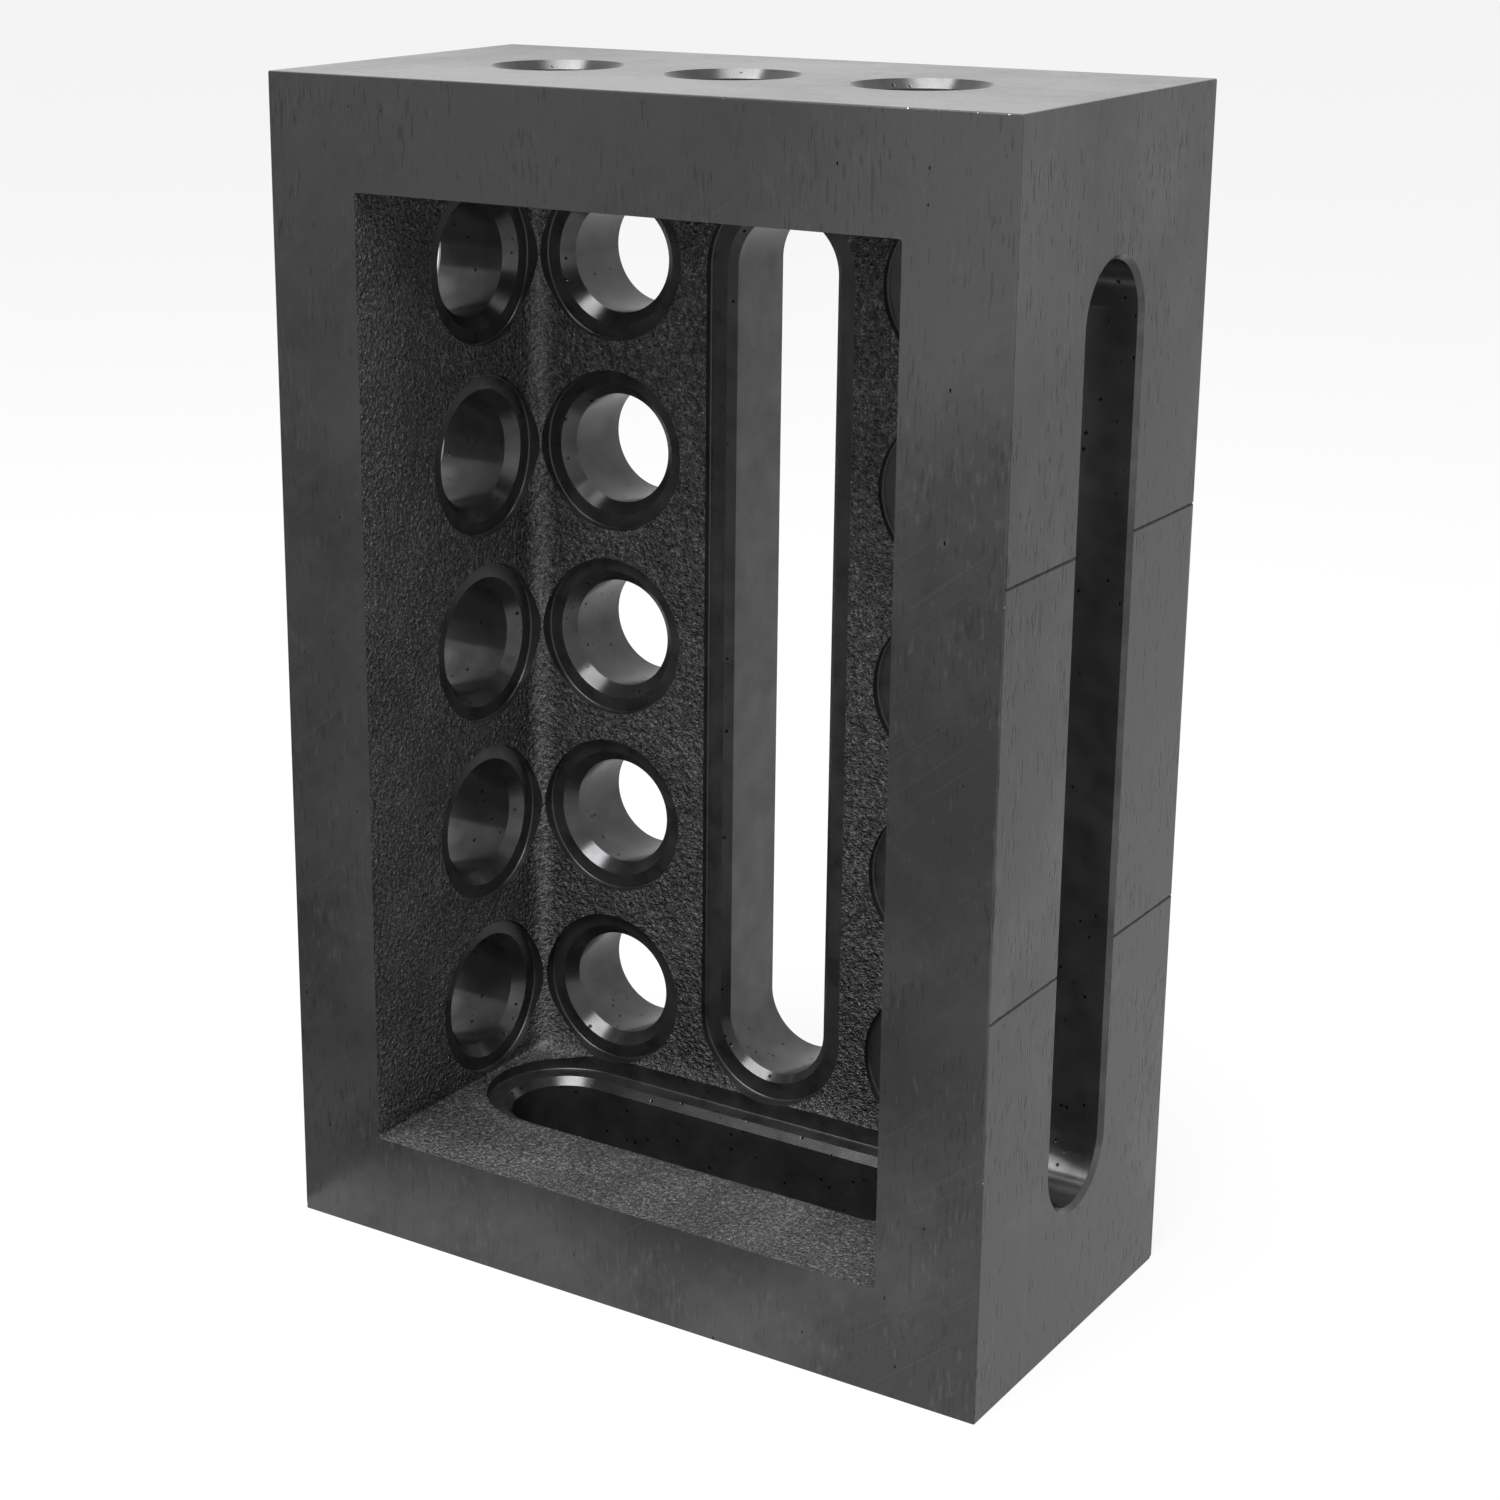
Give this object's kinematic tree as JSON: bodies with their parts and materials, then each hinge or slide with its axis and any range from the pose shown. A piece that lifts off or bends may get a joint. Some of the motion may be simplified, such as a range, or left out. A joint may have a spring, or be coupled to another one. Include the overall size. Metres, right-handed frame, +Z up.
{
  "type": "angle plate",
  "caption": "Tall box angle plate in ground cast iron, open at the front, with rows of bores and long slots for clamping work square on a machine table.",
  "frame": {"origin": "centre of the ground base, the lowest face", "axes": "+Z up the long side, -Y out of the open front, +X towards the wall with the long slot and the scribed lines"},
  "size_m": [0.2032, 0.1016, 0.3048],
  "materials": {
    "grey_iron": "ground outside, machined in the bores, sand-cast and blackened in the pocket"
  },
  "bodies": {
    "root": {"plate_casting": "grey_iron"}
  },
  "joints": []
}
